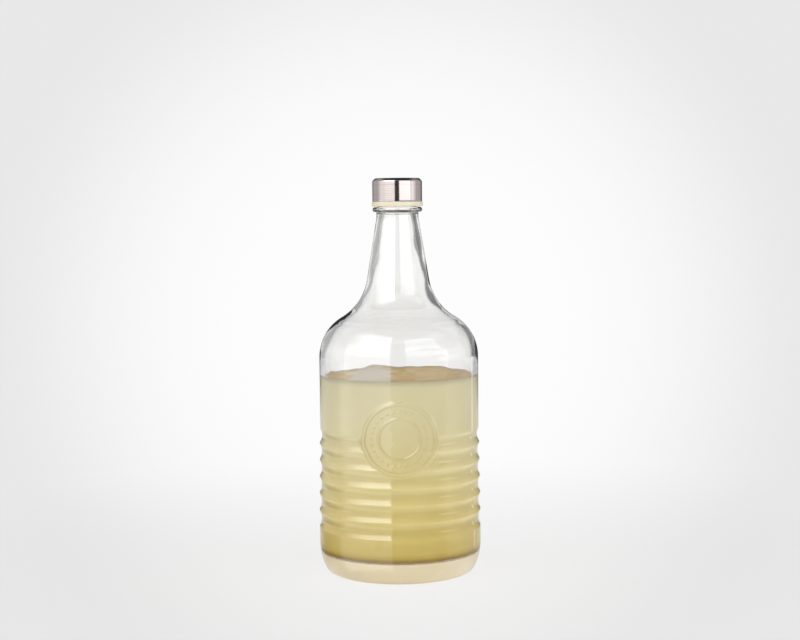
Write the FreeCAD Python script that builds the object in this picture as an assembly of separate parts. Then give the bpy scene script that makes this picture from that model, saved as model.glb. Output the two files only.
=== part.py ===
# Glass bottle with a ribbed lower body, a round relief on its front and a steel-clad screw cap.
# Millimetres, +Z up, origin at the middle of the ring that the bottle stands on, front towards -Y.
import FreeCAD, Part
import math
import os

from FreeCAD import Vector

# Body of the glass
BODY_RADIUS = 52.0           # outside of the plain panel
WALL = 3.2                   # glass thickness of the panel, shoulder and neck
PANEL_HEIGHT = 46.5          # straight part of the panel
PANEL_ROLL = 4.5             # height over which the panel rolls into the top groove

# Ribs below the panel
RIB_COUNT = 5
RIB_PITCH = 11.0
RIB_RISE = 1.3               # how far a crest stands out from the groove above it
RIB_STEP = 0.15              # how much further out each groove lies than the one above it
GROOVE_DEPTH = 0.9           # top groove, measured in from the panel

# Heel and foot
HEEL_OUT = 1.0               # how far the plain band above the heel stands out from the panel
HEEL_BAND = 8.5              # height of the plain band
HEEL_HEIGHT = 21.0           # height at which the heel starts to turn in
HEEL_ROUND = 36.0            # radius of the long heel curve
HEEL_CORNER = 5.0            # radius of the short curve next to the foot
FOOT_WIDTH = 2.5             # width of the flat ring that meets the table
PUNT_RISE = 4.0              # how far the underside is pushed up in the middle
FLOOR_HEIGHT = 13.0          # inside floor above the table
FLOOR_ROUND = 8.0            # radius of the inside corner

# Shoulder and neck
SHOULDER_ROUND = 30.0
FLARE_ROUND = 35.0           # hollow curve from the shoulder into the neck
NECK_SLOPE_DEG = 9.4         # taper of the neck's side from upright
NECK_HEIGHT = 90.5           # from the start of the shoulder to the top of the taper
NECK_OUT = 1.1               # how far the neck's top stands out from the finish
COLLAR_HEIGHT = 3.8          # short straight length above the taper

# Screw finish: bead, thread and lip
FINISH_RADIUS = 12.6         # glass under the thread
FINISH_WALL = 2.7
BEAD_HEIGHT = 3.3
BEAD_OUT = 3.6               # how far the bead stands out from the finish
LIP_OUTER_ROUND = 1.0
LIP_INNER_ROUND = 0.6
THREAD_PITCH = 4.23
THREAD_TURNS = 1.5
THREAD_DEPTH = 1.1
THREAD_ROOT = 2.2            # thread width where it meets the glass
THREAD_CREST = 1.0           # thread width at its top
THREAD_ABOVE_BEAD = 5.65     # from the bead to the middle of the thread's lower end
THREAD_BELOW_LIP = 3.0       # from the middle of the thread's upper end to the lip

# Round relief on the front
RELIEF_ABOVE_RIBS = 3.4      # middle of the relief above the top groove
RELIEF_RADIUS = 24.5
RELIEF_LIFT = 0.2            # how far the round pad stands out from the panel
RIM_WIDTH = 2.4
RIM_RISE = 0.8
INNER_RING_RADIUS = 14.0
INNER_RING_WIDTH = 1.5
INNER_RING_RISE = 0.7
PEARL_COUNT = 28             # small round beads between the two rings
PEARL_RADIUS = 1.0
PETAL_COUNT = 6
PETAL_LENGTH = 10.0
PETAL_WIDTH = 3.2
PETAL_RISE = 0.5
EYE_RADIUS = 2.0             # round boss where the petals meet
EYE_RISE = 0.7

# Screw cap
CAP_GAP = 0.4                # between the bead and the cap's lower edge
THREAD_CLEARANCE = 0.35      # running gap between the two screw threads and the walls they face
CAP_THREAD_TURNS = 1.25
CAP_THREAD_CREST = 0.8
CAP_THREAD_ROOT = 1.5
INSERT_WALL = 1.6
INSERT_TOP = 1.6             # thickness of the insert's ceiling
FLANGE_HEIGHT = 3.0          # part of the insert that shows under the shell
FLANGE_OUT = 0.45            # how far the flange stands out from the shell
FLANGE_EDGE = 0.4            # rounding of the flange's lower edge
GLUE_GAP = 0.05              # between the shell and the insert
SHELL_WALL = 0.5
SHELL_EDGE = 2.0             # outside radius of the shell's top edge
LINER_THICKNESS = 1.5
LINER_CLEARANCE = 0.3        # between the liner's edge and the insert
LINER_EDGE = 0.25            # chamfer of the liner

# Drink in the bottle
FILL_BELOW_SHOULDER = 11.9   # level of the drink under the start of the shoulder
FILL_GAP = 0.1               # between the drink and the glass

EMBED = 0.3                  # how far a thread or a relief piece is sunk into what carries it

# Heights that follow from the sizes above
BAND_TOP = HEEL_HEIGHT + HEEL_BAND
RIBS_BOTTOM = BAND_TOP + RIB_PITCH / 2
RIBS_TOP = RIBS_BOTTOM + RIB_COUNT * RIB_PITCH
RELIEF_HEIGHT = RIBS_TOP + RELIEF_ABOVE_RIBS
PANEL_BOTTOM = RIBS_TOP + PANEL_ROLL
SHOULDER = PANEL_BOTTOM + PANEL_HEIGHT
FILL_LEVEL = SHOULDER - FILL_BELOW_SHOULDER
NECK_TOP = SHOULDER + NECK_HEIGHT
BEAD_BOTTOM = NECK_TOP + COLLAR_HEIGHT
BEAD_TOP = BEAD_BOTTOM + BEAD_HEIGHT
THREAD_LOW = BEAD_TOP + THREAD_ABOVE_BEAD
LIP = THREAD_LOW + THREAD_PITCH * THREAD_TURNS + THREAD_BELOW_LIP
CAP_BOTTOM = BEAD_TOP + CAP_GAP
SHELL_BOTTOM = CAP_BOTTOM + FLANGE_HEIGHT
CEILING = LIP + LINER_THICKNESS
INSERT_HIGH = CEILING + INSERT_TOP
SHELL_HIGH = INSERT_HIGH + GLUE_GAP + SHELL_WALL

# Radii that follow from the sizes above
HEEL_RADIUS = BODY_RADIUS + HEEL_OUT
GROOVE_RADIUS = BODY_RADIUS - GROOVE_DEPTH
PAD_RADIUS = BODY_RADIUS + RELIEF_LIFT
NECK_RADIUS = FINISH_RADIUS + NECK_OUT
BEAD_RADIUS = FINISH_RADIUS + BEAD_OUT
BORE_RADIUS = FINISH_RADIUS - FINISH_WALL
INSERT_BORE = FINISH_RADIUS + THREAD_DEPTH + THREAD_CLEARANCE
INSERT_RADIUS = INSERT_BORE + INSERT_WALL
CAP_RADIUS = INSERT_RADIUS + GLUE_GAP + SHELL_WALL
LINER_RADIUS = INSERT_BORE - LINER_CLEARANCE


class Outline:
    """A line of edges in the half plane of radius and height, to be turned about the bottle's axis."""

    def __init__(self, radius, height):
        self.at = Vector(radius, 0, height)
        self.edges = []

    def line(self, radius, height):
        """Adds a straight edge, and skips one of no length."""
        end = Vector(radius, 0, height)
        if not end.isEqual(self.at, 1e-7):
            self.edges.append(Part.makeLine(self.at, end))
            self.at = end

    def bulge(self, through, radius, height):
        """Adds the arc through a point (radius, height) to the given end."""
        end = Vector(radius, 0, height)
        self.edges.append(Part.Arc(self.at, Vector(through[0], 0, through[1]), end).toShape())
        self.at = end

    def arc(self, centre, radius, height):
        """Adds the shorter arc about a centre (radius, height) to the given end."""
        middle = Vector(centre[0], 0, centre[1])
        start = self.at - middle
        halfway = start + Vector(radius, 0, height) - middle
        through = middle + halfway.normalize() * start.Length
        self.bulge((through.x, through.z), radius, height)

    def solid(self):
        """Closes the outline and turns it about the axis."""
        start = self.edges[0].Vertexes[0].Point
        self.line(start.x, start.z)
        return Part.Face(Part.Wire(self.edges)).revolve(Vector(0, 0, 0), Vector(0, 0, 1), 360)


def rolled_round(height, rise):
    """Radius of an arc that starts upright and moves in by rise over height."""
    return (height * height + rise * rise) / (2 * rise)


def neck_frame():
    """Centres of the shoulder and flare curves, and the top point and outward normal of the neck's taper."""
    slope = math.radians(NECK_SLOPE_DEG)
    down = Vector(math.sin(slope), 0, -math.cos(slope))
    out = Vector(math.cos(slope), 0, math.sin(slope))
    top = Vector(NECK_RADIUS, 0, NECK_TOP)
    shoulder = Vector(BODY_RADIUS - SHOULDER_ROUND, 0, SHOULDER)
    offset = top + out * FLARE_ROUND - shoulder
    along = -offset.dot(down)
    apart = SHOULDER_ROUND + FLARE_ROUND
    reach = along - math.sqrt(along ** 2 - offset.dot(offset) + apart ** 2)
    flare = top + down * reach + out * FLARE_ROUND
    return shoulder, flare, top, out


def draw_foot(outline):
    """Draws the underside, the foot ring and the heel, up to the top of the plain band."""
    turn = math.asin((HEEL_HEIGHT - HEEL_CORNER) / (HEEL_ROUND - HEEL_CORNER))
    heel_middle = HEEL_RADIUS - HEEL_ROUND
    foot_outer = heel_middle + (HEEL_ROUND - HEEL_CORNER) * math.cos(turn)
    foot_inner = foot_outer - FOOT_WIDTH
    joint_radius = heel_middle + HEEL_ROUND * math.cos(turn)
    joint_height = HEEL_HEIGHT - HEEL_ROUND * math.sin(turn)
    outline.arc((0, PUNT_RISE - rolled_round(foot_inner, PUNT_RISE)), foot_inner, 0)
    outline.line(foot_outer, 0)
    outline.arc((foot_outer, HEEL_CORNER), joint_radius, joint_height)
    outline.arc((heel_middle, HEEL_HEIGHT), HEEL_RADIUS, HEEL_HEIGHT)
    outline.line(HEEL_RADIUS, BAND_TOP)


def draw_ribs(outline):
    """Draws the band's rolled top edge, the ribs and the panel up to the shoulder."""
    groove = GROOVE_RADIUS + RIB_COUNT * RIB_STEP
    band_round = rolled_round(RIB_PITCH / 2, HEEL_RADIUS - groove)
    outline.arc((HEEL_RADIUS - band_round, BAND_TOP), groove, RIBS_BOTTOM)
    for rib in range(RIB_COUNT):
        low = RIBS_BOTTOM + rib * RIB_PITCH
        groove -= RIB_STEP
        outline.bulge((groove + RIB_RISE, low + RIB_PITCH / 2), groove, low + RIB_PITCH)
    panel_round = rolled_round(PANEL_ROLL, GROOVE_DEPTH)
    outline.arc((BODY_RADIUS - panel_round, PANEL_BOTTOM), BODY_RADIUS, PANEL_BOTTOM)
    outline.line(BODY_RADIUS, SHOULDER)


def draw_neck(outline):
    """Draws the shoulder, the neck, the bead and the finish up to the lip."""
    shoulder, flare, top, out = neck_frame()
    meet = shoulder + (flare - shoulder).normalize() * SHOULDER_ROUND
    taper = flare - out * FLARE_ROUND
    outline.arc((shoulder.x, shoulder.z), meet.x, meet.z)
    outline.arc((flare.x, flare.z), taper.x, taper.z)
    outline.line(top.x, top.z)
    outline.line(NECK_RADIUS, BEAD_BOTTOM)
    bead_round = BEAD_HEIGHT / 2
    outline.line(BEAD_RADIUS - bead_round, BEAD_BOTTOM)
    outline.bulge((BEAD_RADIUS, BEAD_BOTTOM + bead_round), BEAD_RADIUS - bead_round, BEAD_TOP)
    outline.line(FINISH_RADIUS, BEAD_TOP)
    edge, turn = FINISH_RADIUS - LIP_OUTER_ROUND, LIP - LIP_OUTER_ROUND
    outline.line(FINISH_RADIUS, turn)
    outline.arc((edge, turn), edge, LIP)
    edge, turn = BORE_RADIUS + LIP_INNER_ROUND, LIP - LIP_INNER_ROUND
    outline.line(edge, LIP)
    outline.arc((edge, turn), BORE_RADIUS, turn)


def draw_hollow(outline, gap):
    """Draws the hollow from the bore down to the middle of the floor, gap further in than the glass."""
    shoulder, flare, top, out = neck_frame()
    wall = WALL + gap
    bore, side = BORE_RADIUS - gap, BODY_RADIUS - wall
    floor, corner = FLOOR_HEIGHT + gap, FLOOR_ROUND - gap
    taper_top = top - out * wall
    taper = flare - out * (FLARE_ROUND + wall)
    meet = shoulder + (flare - shoulder).normalize() * (SHOULDER_ROUND - wall)
    outline.line(bore, taper_top.z - (bore - taper_top.x) / math.tan(math.radians(NECK_SLOPE_DEG)))
    outline.line(taper.x, taper.z)
    outline.arc((flare.x, flare.z), meet.x, meet.z)
    outline.arc((shoulder.x, shoulder.z), side, SHOULDER)
    outline.line(side, floor + corner)
    outline.arc((side - corner, floor + corner), side - corner, floor)
    outline.line(0, floor)


def front_cylinder(radius, x=0.0, height=RELIEF_HEIGHT):
    """A cylinder that runs from in front of the glass to the bottle's axis."""
    reach = 2 * HEEL_RADIUS
    return Part.makeCylinder(radius, reach, Vector(x, -reach, height), Vector(0, 1, 0))


def relief_layer(shape, inner, outer):
    """What a front shape shares with a tube about the axis."""
    foot = Vector(0, 0, RELIEF_HEIGHT - 2 * RELIEF_RADIUS)
    tall = 4 * RELIEF_RADIUS
    tube = Part.makeCylinder(outer, tall, foot).cut(Part.makeCylinder(inner, tall, foot))
    return tube.common(shape)


def raised(shape, rise):
    """A front shape that stands out from the pad by rise and is sunk into the glass."""
    return relief_layer(shape, GROOVE_RADIUS - EMBED, PAD_RADIUS + rise)


def raised_ring(radius, width, rise):
    """A ring of the relief."""
    return raised(front_cylinder(radius).cut(front_cylinder(radius - width)), rise)


def pearls():
    """Small round beads, evenly spaced between the two rings and half sunk in the pad."""
    path = (RELIEF_RADIUS - RIM_WIDTH + INNER_RING_RADIUS) / 2
    depth = PAD_RADIUS - PEARL_RADIUS / 2
    made = []
    for index in range(PEARL_COUNT):
        angle = 2 * math.pi * index / PEARL_COUNT
        x, height = path * math.sin(angle), RELIEF_HEIGHT + path * math.cos(angle)
        made.append(Part.makeSphere(PEARL_RADIUS, Vector(x, -math.sqrt(depth ** 2 - x ** 2), height)))
    return made


def petals():
    """Pointed petals that make a plain rosette, each between two arcs."""
    side_round = (PETAL_LENGTH ** 2 + PETAL_WIDTH ** 2) / (4 * PETAL_WIDTH)
    aside = side_round - PETAL_WIDTH / 2
    height = RELIEF_HEIGHT + PETAL_LENGTH / 2
    petal = front_cylinder(side_round, -aside, height).common(front_cylinder(side_round, aside, height))
    made = []
    for index in range(PETAL_COUNT):
        turned = petal.copy()
        turned.rotate(Vector(0, 0, RELIEF_HEIGHT), Vector(0, 1, 0), 360.0 * index / PETAL_COUNT)
        made.append(raised(turned, PETAL_RISE))
    return made


def thread(radius, depth, root, crest, low, turns):
    """A screw ridge on a wall at radius, its lower end at low. A negative depth points to the axis."""
    sunk = radius - math.copysign(EMBED, depth)
    sunk_half = (root + (root - crest) * EMBED / abs(depth)) / 2
    corners = [
        Vector(sunk, 0, -sunk_half),
        Vector(radius + depth, 0, -crest / 2),
        Vector(radius + depth, 0, crest / 2),
        Vector(sunk, 0, sunk_half),
    ]
    section = Part.makePolygon(corners + corners[:1])
    path = Part.Wire(Part.makeHelix(THREAD_PITCH, THREAD_PITCH * turns, radius).Edges)
    ridge = path.makePipeShell([section], True, True)
    ridge.translate(Vector(0, 0, low))
    return ridge


def glass_bottle():
    """The bottle, moulded in one piece with its relief and its screw thread."""
    outline = Outline(0, PUNT_RISE)
    draw_foot(outline)
    draw_ribs(outline)
    draw_neck(outline)
    draw_hollow(outline, 0)
    disc = front_cylinder(RELIEF_RADIUS)
    glass = outline.solid().cut(relief_layer(disc, PAD_RADIUS, 2 * HEEL_RADIUS))
    relief = [
        raised(disc, 0),
        raised_ring(RELIEF_RADIUS, RIM_WIDTH, RIM_RISE),
        raised_ring(INNER_RING_RADIUS, INNER_RING_WIDTH, INNER_RING_RISE),
        raised(front_cylinder(EYE_RADIUS), EYE_RISE),
    ]
    screw = thread(FINISH_RADIUS, THREAD_DEPTH, THREAD_ROOT, THREAD_CREST, THREAD_LOW, THREAD_TURNS)
    return glass.fuse(relief + pearls() + petals() + [screw]).removeSplitter()


def liquid_fill():
    """The drink, up to its level in the body."""
    outline = Outline(0, LIP)
    outline.line(BORE_RADIUS - FILL_GAP, LIP)
    draw_hollow(outline, FILL_GAP)
    return outline.solid().common(Part.makeCylinder(2 * HEEL_RADIUS, FILL_LEVEL))


def cap_shell():
    """The drawn steel shell of the cap."""
    inner, inner_high = CAP_RADIUS - SHELL_WALL, SHELL_HIGH - SHELL_WALL
    edge, turn = CAP_RADIUS - SHELL_EDGE, SHELL_HIGH - SHELL_EDGE
    outline = Outline(inner, SHELL_BOTTOM)
    outline.line(CAP_RADIUS, SHELL_BOTTOM)
    outline.line(CAP_RADIUS, turn)
    outline.arc((edge, turn), edge, SHELL_HIGH)
    outline.line(0, SHELL_HIGH)
    outline.line(0, inner_high)
    outline.line(edge, inner_high)
    outline.arc((edge, turn), inner, turn)
    return outline.solid()


def cap_insert():
    """The moulded insert with the cap's screw thread. Its flange shows under the shell."""
    flange = CAP_RADIUS + FLANGE_OUT
    edge, turn = CAP_RADIUS - SHELL_EDGE, SHELL_HIGH - SHELL_EDGE
    outline = Outline(INSERT_BORE, CAP_BOTTOM)
    outline.line(flange - FLANGE_EDGE, CAP_BOTTOM)
    outline.arc((flange - FLANGE_EDGE, CAP_BOTTOM + FLANGE_EDGE), flange, CAP_BOTTOM + FLANGE_EDGE)
    outline.line(flange, SHELL_BOTTOM)
    outline.line(INSERT_RADIUS, SHELL_BOTTOM)
    outline.line(INSERT_RADIUS, turn)
    outline.arc((edge, turn), edge, INSERT_HIGH)
    outline.line(0, INSERT_HIGH)
    outline.line(0, CEILING)
    outline.line(INSERT_BORE, CEILING)
    depth = FINISH_RADIUS + THREAD_CLEARANCE - INSERT_BORE
    low = THREAD_LOW - THREAD_PITCH / 2
    screw = thread(INSERT_BORE, depth, CAP_THREAD_ROOT, CAP_THREAD_CREST, low, CAP_THREAD_TURNS)
    return outline.solid().fuse(screw).removeSplitter()


def seal_liner():
    """The soft disc that closes the mouth."""
    outline = Outline(0, LIP)
    outline.line(LINER_RADIUS - LINER_EDGE, LIP)
    outline.line(LINER_RADIUS, LIP + LINER_EDGE)
    outline.line(LINER_RADIUS, CEILING - LINER_EDGE)
    outline.line(LINER_RADIUS - LINER_EDGE, CEILING)
    outline.line(0, CEILING)
    return outline.solid()


def main():
    """Builds every piece and writes one STEP file for each."""
    os.makedirs("parts", exist_ok=True)
    for make in (glass_bottle, liquid_fill, cap_shell, cap_insert, seal_liner):
        shape = make()
        shape.exportStep(os.path.join("parts", make.__name__ + ".step"))
        count, volume = len(shape.Solids), shape.Volume / 1000
        print(f"{make.__name__}: solids {count}, valid {shape.isValid()}, {volume:.2f} cubic cm")


main()
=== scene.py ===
"""Looks of a glass bottle with a ribbed body, a round relief and a steel-clad screw cap.

The sizes in the classes are millimetres and angles are degrees. Meshes are made in metres, in the frame of
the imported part: +Z up, the foot on z = 0, the bottle's axis on +Z and its front towards -Y.
"""

from __future__ import annotations

import logging
import math
from dataclasses import dataclass, field
from enum import Enum
from typing import Any, Callable

import bpy
import numpy as np
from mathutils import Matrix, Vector

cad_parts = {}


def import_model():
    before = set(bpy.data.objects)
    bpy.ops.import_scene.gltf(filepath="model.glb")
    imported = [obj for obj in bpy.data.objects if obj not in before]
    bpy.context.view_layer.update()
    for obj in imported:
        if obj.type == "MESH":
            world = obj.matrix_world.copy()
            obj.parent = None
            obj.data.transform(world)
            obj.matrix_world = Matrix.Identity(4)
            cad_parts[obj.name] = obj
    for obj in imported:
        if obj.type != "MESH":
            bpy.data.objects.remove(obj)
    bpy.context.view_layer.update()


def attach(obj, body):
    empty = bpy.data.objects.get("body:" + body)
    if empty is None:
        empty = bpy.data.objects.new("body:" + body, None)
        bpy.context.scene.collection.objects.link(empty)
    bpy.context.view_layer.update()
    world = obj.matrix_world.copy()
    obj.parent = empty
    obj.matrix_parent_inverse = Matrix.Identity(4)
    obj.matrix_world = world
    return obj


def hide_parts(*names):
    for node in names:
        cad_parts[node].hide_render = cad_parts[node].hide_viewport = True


LOG = logging.getLogger("bottle")
MM = 0.001
MERGE = 0.001
FLANK_SHADE = "flank_shade"
Tree = bpy.types.NodeTree
Socket = bpy.types.NodeSocket
Pair = tuple[float, float]
Edges = tuple[float, float, float, float]


class Body(Enum):
    """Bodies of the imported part."""

    BOTTLE = "bottle"
    SEAL = "seal"
    CAP = "cap"


class Slot(Enum):
    """Material slots of the record."""

    GLASS = "clear_glass"
    DRINK = "pale_drink"
    STEEL = "steel"
    CREAM = "cream_plastic"
    FOAM = "liner_foam"


def linear(hex_colour: str) -> tuple[float, float, float, float]:
    """Turns an sRGB hex colour to linear light.

    Args:
        hex_colour: Six hex digits after a number sign.

    Returns:
        Linear red, green and blue, with an alpha of 1.
    """
    levels = [int(hex_colour[i : i + 2], 16) / 255 for i in (1, 3, 5)]
    light = [c / 12.92 if c <= 0.04045 else ((c + 0.055) / 1.055) ** 2.4 for c in levels]
    return (light[0], light[1], light[2], 1.0)


def add_node(tree: Tree, kind: str, inputs: dict | None = None, **settings: Any) -> bpy.types.Node:
    """Adds a node with its settings and links.

    Args:
        tree: Node tree to add to.
        kind: Blender's name for the node's type, without its ShaderNode prefix.
        inputs: Input name or index to a plain value, or to the output socket that feeds it.
        settings: Attributes of the node. A setting named stops fills a colour ramp, place to hex colour.

    Returns:
        The new node.
    """
    made = tree.nodes.new("ShaderNode" + kind)
    stops = settings.pop("stops", {})
    for name, value in settings.items():
        setattr(made, name, value)
    for index, (place, colour) in enumerate(stops.items()):
        points = made.color_ramp.elements
        point = points[index] if index < len(points) else points.new(place)
        point.position = place
        point.color = linear(colour)
    for name, value in (inputs or {}).items():
        if isinstance(value, Socket):
            tree.links.new(value, made.inputs[name])
        else:
            made.inputs[name].default_value = value
    return made


def new_material(name: str) -> tuple[bpy.types.Material, Tree, Socket]:
    """Starts a material.

    Args:
        name: Name of the real material.

    Returns:
        The material, its tree and the object coordinates, which are all that the tree holds.
    """
    material = bpy.data.materials.new(name)
    material.use_nodes = True
    tree = material.node_tree
    tree.nodes.clear()
    return material, tree, add_node(tree, "TexCoord").outputs["Object"]


def per_mm(size: float) -> float:
    """Scale of a texture on object coordinates whose features are about size millimetres apart."""
    return 1 / (size * MM)


def field_of(tree: Tree, value: Socket, edges: Edges) -> Socket:
    """Adds nodes that give 1 inside a span, with soft ends.

    Args:
        tree: Node tree to add to.
        value: What the span is measured on.
        edges: Where it fades in from, is full from, is full to and fades out to.

    Returns:
        The socket with the field.
    """
    slopes = []
    for start, end, low, high in ((edges[0], edges[1], 0, 1), (edges[2], edges[3], 1, 0)):
        inputs = {"Value": value, "From Min": start, "From Max": end, "To Min": low, "To Max": high}
        slopes.append(add_node(tree, "MapRange", inputs, interpolation_type="SMOOTHSTEP").outputs["Result"])
    return add_node(tree, "Math", dict(enumerate(slopes)), operation="MULTIPLY").outputs[0]


@dataclass(frozen=True)
class SodaLimeGlass:
    """Clear glass, blown in a mould: smooth with slow ripples, hardly coloured, cloudy in its thick foot,
    with painted drink light in the foot and painted shade on the relief's flanks.
    """

    tint: str = "#F9F9F8"
    # Painted cream in the thick foot, standing in for the drink's light seen through the glass there.
    painted_drink_light: str = "#FAE9C0"
    # Painted shade on the relief's steep flanks.
    flank_painted_shade: str = "#DCD2AE"
    thick_clear: float = 0.25
    index: float = 1.5
    shine: float = 0.8
    ripple: float = 16.0
    ripple_depth: float = 0.035
    smudge: float = 9.0
    smudge_rough: float = 0.03
    thick_top: float = 13.4
    thin_bottom: float = 14.6

    def make(self) -> bpy.types.Material:
        """Builds the material: see-through, and cloudy low down where the glass is thick, with a painted
        cream there that stands in for the drink's light, and painted shade on the relief's steep flanks.

        Returns:
            The material.
        """
        material, tree, place = new_material("soda_lime_glass")
        height = add_node(tree, "SeparateXYZ", {"Vector": place}).outputs["Z"]
        ends = {"From Min": self.thick_top * MM, "From Max": self.thin_bottom * MM}
        thin = add_node(tree, "MapRange", {"Value": height, **ends}).outputs["Result"]
        # Low down the colour turns to the painted cream of the drink's light.
        colours = {"A": linear(self.painted_drink_light), "B": linear(self.tint)}
        colour = add_node(tree, "Mix", {"Factor": thin, **colours}, data_type="RGBA").outputs["Result"]
        # Painted shade on the relief's steep flanks, from the stored steepness.
        flank_shade = add_node(tree, "Attribute", attribute_name=FLANK_SHADE).outputs["Fac"]
        colours = {"A": colour, "B": linear(self.flank_painted_shade)}
        shaded = add_node(tree, "Mix", {"Factor": flank_shade, **colours}, data_type="RGBA")
        clear = add_node(tree, "MapRange", {"Value": thin, "To Min": self.thick_clear, "To Max": 1.0})
        smudges = add_node(tree, "TexNoise", {"Vector": place, "Scale": per_mm(self.smudge), "Detail": 3.0})
        rough = add_node(tree, "MapRange", {"Value": smudges.outputs["Fac"], "To Max": self.smudge_rough})
        ripples = add_node(tree, "TexNoise", {"Vector": place, "Scale": per_mm(self.ripple), "Detail": 1.0})
        bump = {"Height": ripples.outputs["Fac"], "Distance": self.ripple_depth * MM}
        inputs = {
            "Base Color": shaded.outputs["Result"],
            "Roughness": rough.outputs["Result"],
            "IOR": self.index,
            "Specular IOR Level": self.shine,
            "Transmission Weight": clear.outputs["Result"],
            "Normal": add_node(tree, "Bump", bump).outputs["Normal"],
        }
        glass = add_node(tree, "BsdfPrincipled", inputs)
        add_node(tree, "OutputMaterial", {"Surface": glass.outputs["BSDF"]})
        return material


@dataclass(frozen=True)
class CloudyLemonade:
    """Pressed lemon drink: light scatters in it, so it is hazy, and its colour is deeper low down, with
    painted shade along its bottom edge.
    """

    # The lowest colour is painted shade along the drink's bottom edge.
    bottom_painted_shade: str = "#D6BB78"
    low: str = "#F4DC80"
    middle: str = "#F9EAA8"
    high: str = "#FAF1C8"
    floor: float = 13.0
    level: float = 129.0
    cloud: float = 26.0
    cloud_depth: float = 0.05
    haze: float = 0.5
    index: float = 1.34
    clear: float = 0.06

    def make(self) -> bpy.types.Material:
        """Builds the material: hazy, with a slow change of colour upwards, painted shade in its lowest
        millimetres and faint clouds.

        Returns:
            The material.
        """
        material, tree, place = new_material("cloudy_lemonade")
        height = add_node(tree, "SeparateXYZ", {"Vector": place}).outputs["Z"]
        ends = {"From Min": self.floor * MM, "From Max": self.level * MM}
        share = add_node(tree, "MapRange", {"Value": height, **ends}).outputs["Result"]
        # The first stop is painted shade at the bottom edge of the drink.
        stops = {0.018: self.bottom_painted_shade, 0.036: self.low, 0.45: self.middle, 0.8: self.high}
        settled_and_painted = add_node(tree, "ValToRGB", {"Fac": share}, stops=stops).outputs["Color"]
        clouds = add_node(tree, "TexNoise", {"Vector": place, "Scale": per_mm(self.cloud), "Detail": 2.0})
        ends = {"To Min": 1 - self.cloud_depth, "To Max": 1 + self.cloud_depth}
        value = add_node(tree, "MapRange", {"Value": clouds.outputs["Fac"], **ends}).outputs["Result"]
        colour = add_node(tree, "HueSaturation", {"Color": settled_and_painted, "Value": value})
        inputs = {
            "Base Color": colour.outputs["Color"],
            "Roughness": self.haze,
            "IOR": self.index,
            "Transmission Weight": self.clear,
        }
        drink = add_node(tree, "BsdfPrincipled", inputs)
        add_node(tree, "OutputMaterial", {"Surface": drink.outputs["BSDF"]})
        return material


@dataclass(frozen=True)
class PulpWithPaintedLight:
    """Fine lemon pulp, in patches: browner on the drink's open surface, with a painted highlight streak
    there, and pale on the floor, where the pale cover is painted light standing in for the drink's light in
    the thick foot.
    """

    name: str
    pale: str
    dark: str
    # Painted light: a highlight streak on the open surface, and the pale cover on the floor.
    painted_light: str
    painted_light_span: Pair
    painted_light_edge: float = 5.0
    drift: float = 14.0
    drift_size: float = 15.0
    grain: float = 5.0
    roughness: float = 0.6
    shine: float = 0.02

    def make(self) -> bpy.types.Material:
        """Builds the material: matt and without shine, in soft patches, with a field of painted light across
        them.

        Returns:
            The material.
        """
        material, tree, place = new_material(self.name)
        patches = add_node(tree, "TexNoise", {"Vector": place, "Scale": per_mm(self.grain), "Detail": 4.0})
        stops = {0.35: self.dark, 0.7: self.pale}
        colour = add_node(tree, "ValToRGB", {"Fac": patches.outputs["Fac"]}, stops=stops).outputs["Color"]
        noise = {"Vector": place, "Scale": per_mm(self.drift_size), "Detail": 2.0}
        drift = add_node(tree, "TexNoise", noise)
        ends = {"To Min": -self.drift * MM, "To Max": self.drift * MM}
        shift = add_node(tree, "MapRange", {"Value": drift.outputs["Fac"], **ends}).outputs["Result"]
        axis = add_node(tree, "SeparateXYZ", {"Vector": place}).outputs["X"]
        across = add_node(tree, "Math", {0: axis, 1: shift}, operation="ADD").outputs[0]
        # Painted light over a span across the drink, with wandering edges.
        low, high = self.painted_light_span
        edges = [end * MM for end in (low - self.painted_light_edge, low, high - self.painted_light_edge, high)]
        inputs = {"Factor": field_of(tree, across, edges), "A": colour, "B": linear(self.painted_light)}
        with_painted_light = add_node(tree, "Mix", inputs, data_type="RGBA")
        inputs = {
            "Base Color": with_painted_light.outputs["Result"],
            "Roughness": self.roughness,
            "Specular IOR Level": self.shine,
        }
        pulp = add_node(tree, "BsdfPrincipled", inputs)
        add_node(tree, "OutputMaterial", {"Surface": pulp.outputs["BSDF"]})
        return material


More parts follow.
